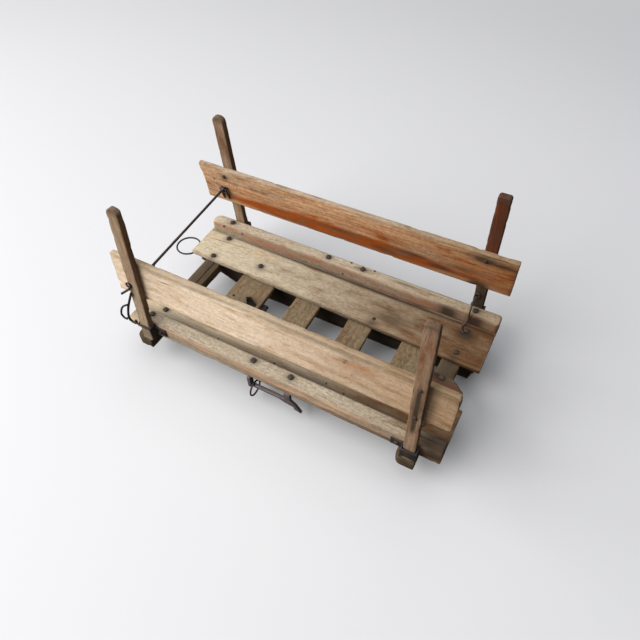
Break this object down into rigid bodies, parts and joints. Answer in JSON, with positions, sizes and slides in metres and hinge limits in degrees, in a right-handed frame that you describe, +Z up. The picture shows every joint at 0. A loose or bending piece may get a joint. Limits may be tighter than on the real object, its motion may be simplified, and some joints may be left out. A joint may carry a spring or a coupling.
{
  "type": "wooden sled",
  "caption": "Long farm sled: plank deck boards on shod runners, side rails, low racks on round-topped stakes, a tie rod, a draw ring and a hook bar.",
  "frame": {"origin": "middle of the bounding box at floor level", "axes": "+X towards the rear, +Y towards the far side in the picture, +Z up; the draw ring is at -X"},
  "size_m": [1.3035, 0.656, 0.711],
  "materials": {
    "weathered_wood": "weathered",
    "pale_wood": "weathered",
    "stained_wood": "weathered",
    "old_iron": "rusty"
  },
  "bodies": {
    "sled": {"far_runner": "weathered_wood", "near_runner": "weathered_wood", "front_bolster": "weathered_wood", "rear_bolster": "weathered_wood", "slat_2": "weathered_wood", "slat_3": "weathered_wood", "slat_4": "weathered_wood", "slat_5": "weathered_wood", "far_deck": "weathered_wood", "near_deck": "weathered_wood", "deck_patch": "weathered_wood", "far_rail": "weathered_wood", "near_rail": "weathered_wood", "far_rack_board": "stained_wood", "near_rack_board": "pale_wood", "far_front_stake": "pale_wood", "far_rear_stake": "stained_wood", "near_front_stake": "pale_wood", "near_rear_stake": "pale_wood", "far_shoe": "old_iron", "near_shoe": "old_iron", "far_irons": "old_iron", "near_irons": "old_iron", "far_iron_bolts": "old_iron", "near_iron_bolts": "old_iron", "stake_bolts": "old_iron", "tie_staple": "old_iron", "tie_eye": "old_iron", "draw_eye": "old_iron", "hook_bar": "old_iron", "bar_lugs": "old_iron", "far_hook": "old_iron", "near_wires": "old_iron", "deck_bolts": "old_iron", "rail_bolts": "old_iron", "rack_bolts": "old_iron"},
    "tie_rod": {"tie_rod": "old_iron"},
    "draw_ring": {"draw_ring": "old_iron"},
    "side_ring": {"side_ring": "old_iron"}
  },
  "joints": [
    {"name": "tie_rod_lift", "type": "hinge", "parent": "sled", "child": "tie_rod", "pos_m": [-0.45025, 0.24405, 0.385], "axis": [-1, 0, 0], "range_deg": [0, 80]},
    {"name": "draw_ring_swing", "type": "hinge", "parent": "sled", "child": "draw_ring", "pos_m": [-0.55225, 0.138, 0.119], "axis": [0, -1, 0], "range_deg": [0, 75]},
    {"name": "side_ring_swing", "type": "hinge", "parent": "sled", "child": "side_ring", "pos_m": [-0.01125, -0.288, 0.096], "axis": [0, 1, 0], "range_deg": [-40, 25]}
  ]
}
